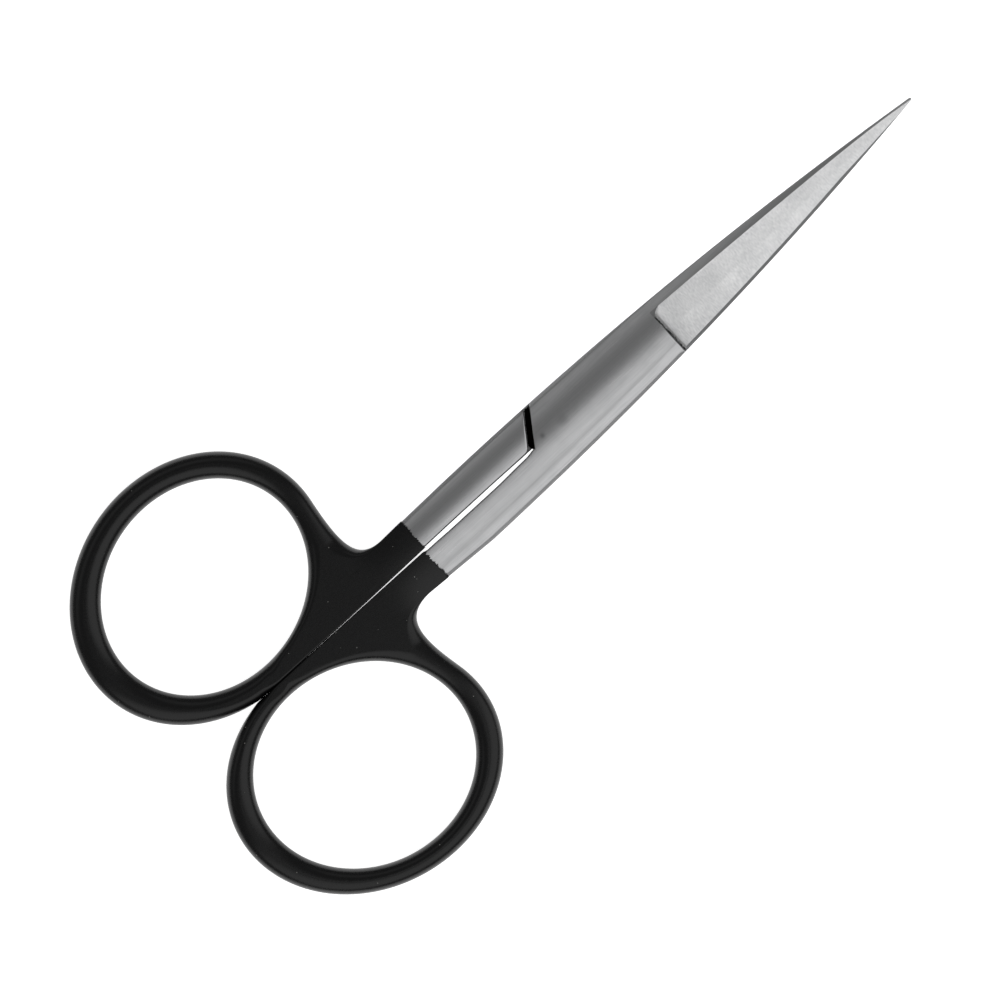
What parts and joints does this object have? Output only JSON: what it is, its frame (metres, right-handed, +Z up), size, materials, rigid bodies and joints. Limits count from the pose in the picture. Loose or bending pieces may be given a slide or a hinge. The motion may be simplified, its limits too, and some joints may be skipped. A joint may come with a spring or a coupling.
{
  "type": "thread snips",
  "caption": "Fine-point thread snips with black-coated finger bows and a lap joint on a pivot screw, for cutting thread close to the work.",
  "frame": {"origin": "pivot axis at the outer face of the screw head, on which the closed pair lies", "axes": "+X from the pivot to the blade tips, +Y to the rear half's bow, +Z up through the pivot to the front half"},
  "size_m": [0.1141, 0.0561, 0.0045],
  "materials": {
    "steel": "satin, brushed lengthwise on the joint and shanks and ground across on the blades",
    "screw": "turned, satin",
    "coating": "satin black dipped coat with a fine grain"
  },
  "bodies": {
    "front_half": {"front_blade": "steel", "front_bow_coating": "coating", "pivot_screw": "screw"},
    "rear_half": {"rear_blade": "steel", "rear_bow_coating": "coating"}
  },
  "joints": [
    {"name": "blade_pivot", "type": "hinge", "parent": "front_half", "child": "rear_half", "pos_m": [0, 0, 0.0025], "axis": [0, 0, -1], "range_deg": [0, 65]}
  ]
}
